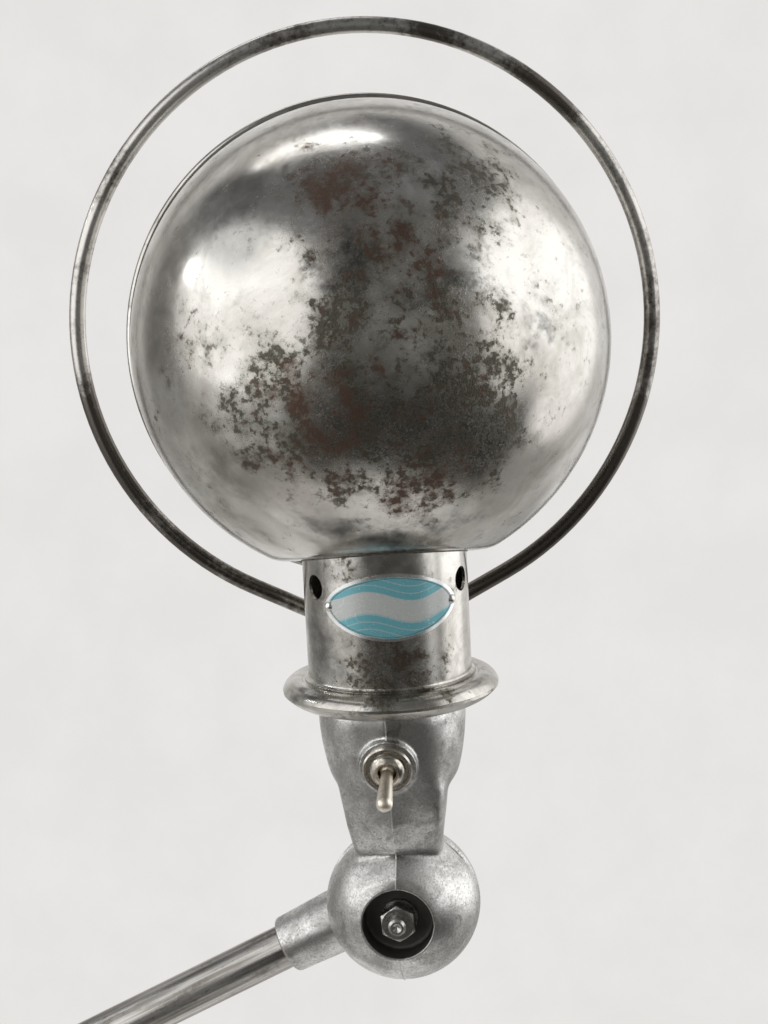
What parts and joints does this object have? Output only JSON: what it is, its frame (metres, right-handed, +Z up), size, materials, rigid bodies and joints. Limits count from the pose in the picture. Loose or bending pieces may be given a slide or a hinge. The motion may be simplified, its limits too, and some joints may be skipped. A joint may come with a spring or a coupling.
{
  "type": "articulated desk lamp",
  "caption": "Two-arm desk lamp on a round cast base: friction ball joints, steel tubes, and a turning head with a domed metal reflector, a wire handle ring and a toggle switch.",
  "frame": {"origin": "centre of the base's footprint, on the surface the lamp stands on", "axes": "+Z up; the arms swing in planes parallel to XZ; the back of the reflector faces -Y at rest"},
  "size_m": [0.4626, 0.2005, 0.9459],
  "materials": {
    "raw_steel": "bare spun steel, burnished and clear-waxed, with dark brown patina",
    "tube_steel": "bare drawn tube, rubbed along its length",
    "cast_aluminium": "sand-cast, brushed to a dull grainy satin",
    "cast_iron": "bare grey iron, burnished and waxed",
    "fastener_steel": "plain steel, worn",
    "sheet_steel": "zinc-plated sheet",
    "nickel": "worn nickel plate",
    "badge_aluminium": "bright printed sheet",
    "rubber": "black moulded rubber",
    "lead_sheath": "black round sheath",
    "insulator_dark": "dark phenolic",
    "insulator_red": "red-brown vulcanised fibre",
    "copper": "bare copper sheet",
    "brass": "bare brass",
    "porcelain": "white glazed",
    "cap_metal": "pressed thin metal",
    "opal_glass": "opal white"
  },
  "bodies": {
    "base": {"base_casting": "cast_iron", "base_pad": "rubber", "base_bottom_plate": "sheet_steel", "base_plate_screws": "fastener_steel", "cable_grommet": "rubber", "terminal_block": "insulator_dark", "swivel_thrust_washer": "insulator_dark", "swivel_stop_screw": "fastener_steel"},
    "stem": {"stem_casting": "cast_aluminium", "swivel_spring_washer": "fastener_steel", "swivel_nut": "fastener_steel", "shoulder_contact_disc": "insulator_red", "shoulder_contact_tracks": "copper", "shoulder_bolt": "fastener_steel", "shoulder_nut": "fastener_steel", "shoulder_washers": "fastener_steel"},
    "lower_arm": {"lower_arm_bottom_socket": "cast_aluminium", "lower_arm_top_socket": "cast_aluminium", "lower_arm_tube": "tube_steel", "lower_arm_lead": "lead_sheath", "shoulder_brush_disc": "insulator_red", "shoulder_brushes": "copper", "elbow_brush_disc": "insulator_red", "elbow_brushes": "copper"},
    "upper_arm": {"upper_arm_bottom_socket": "cast_aluminium", "upper_arm_top_socket": "cast_aluminium", "upper_arm_tube": "tube_steel", "upper_arm_lead": "lead_sheath", "elbow_contact_disc": "insulator_red", "elbow_contact_tracks": "copper", "elbow_bolt": "fastener_steel", "elbow_nut": "fastener_steel", "elbow_washers": "fastener_steel", "head_contact_disc": "insulator_red", "head_contact_tracks": "copper", "head_bolt": "fastener_steel", "head_nut": "fastener_steel", "head_washers": "fastener_steel"},
    "neck": {"neck_casting": "cast_aluminium", "head_brush_disc": "insulator_red", "head_brushes": "copper", "switch_body": "insulator_dark", "switch_bushing": "nickel", "switch_bezel": "nickel", "collar_seat_ring": "raw_steel", "lampholder_plate": "sheet_steel", "lampholder_plate_screws": "fastener_steel", "lampholder": "porcelain", "lampholder_screws": "fastener_steel", "lampholder_shell": "brass", "lampholder_contact": "brass", "bulb_cap": "cap_metal", "bulb_glass": "opal_glass"},
    "head": {"collar": "raw_steel", "reflector": "raw_steel", "handle_ring": "raw_steel", "handle_nuts": "fastener_steel", "badge": "badge_aluminium", "badge_rivets": "badge_aluminium"},
    "toggle": {"switch_lever": "nickel"}
  },
  "joints": [
    {"name": "base_swivel", "type": "hinge", "parent": "base", "child": "stem", "pos_m": [0, 0, 0.05], "axis": [0, 0, 1], "range_deg": [-155, 155]},
    {"name": "shoulder", "type": "hinge", "parent": "stem", "child": "lower_arm", "pos_m": [0, -0.01415, 0.091], "axis": [0, -1, 0], "range_deg": [-60, 50]},
    {"name": "elbow", "type": "hinge", "parent": "lower_arm", "child": "upper_arm", "pos_m": [-0.16905, -0.01415, 0.45352], "axis": [0, 1, 0], "range_deg": [-110, 65]},
    {"name": "head_tilt", "type": "hinge", "parent": "upper_arm", "child": "neck", "pos_m": [0.18181, -0.01415, 0.64561], "axis": [0, -1, 0], "range_deg": [-190, 70]},
    {"name": "head_turn", "type": "hinge", "parent": "neck", "child": "head", "pos_m": [0.17788, -0.02015, 0.72452], "axis": [-0.0497, 0, 0.9988], "continuous": true},
    {"name": "switch", "type": "hinge", "parent": "neck", "child": "toggle", "pos_m": [0.17902, -0.04435, 0.70168], "axis": [-0.9988, 0, -0.0497], "range_deg": [0, 28]}
  ]
}
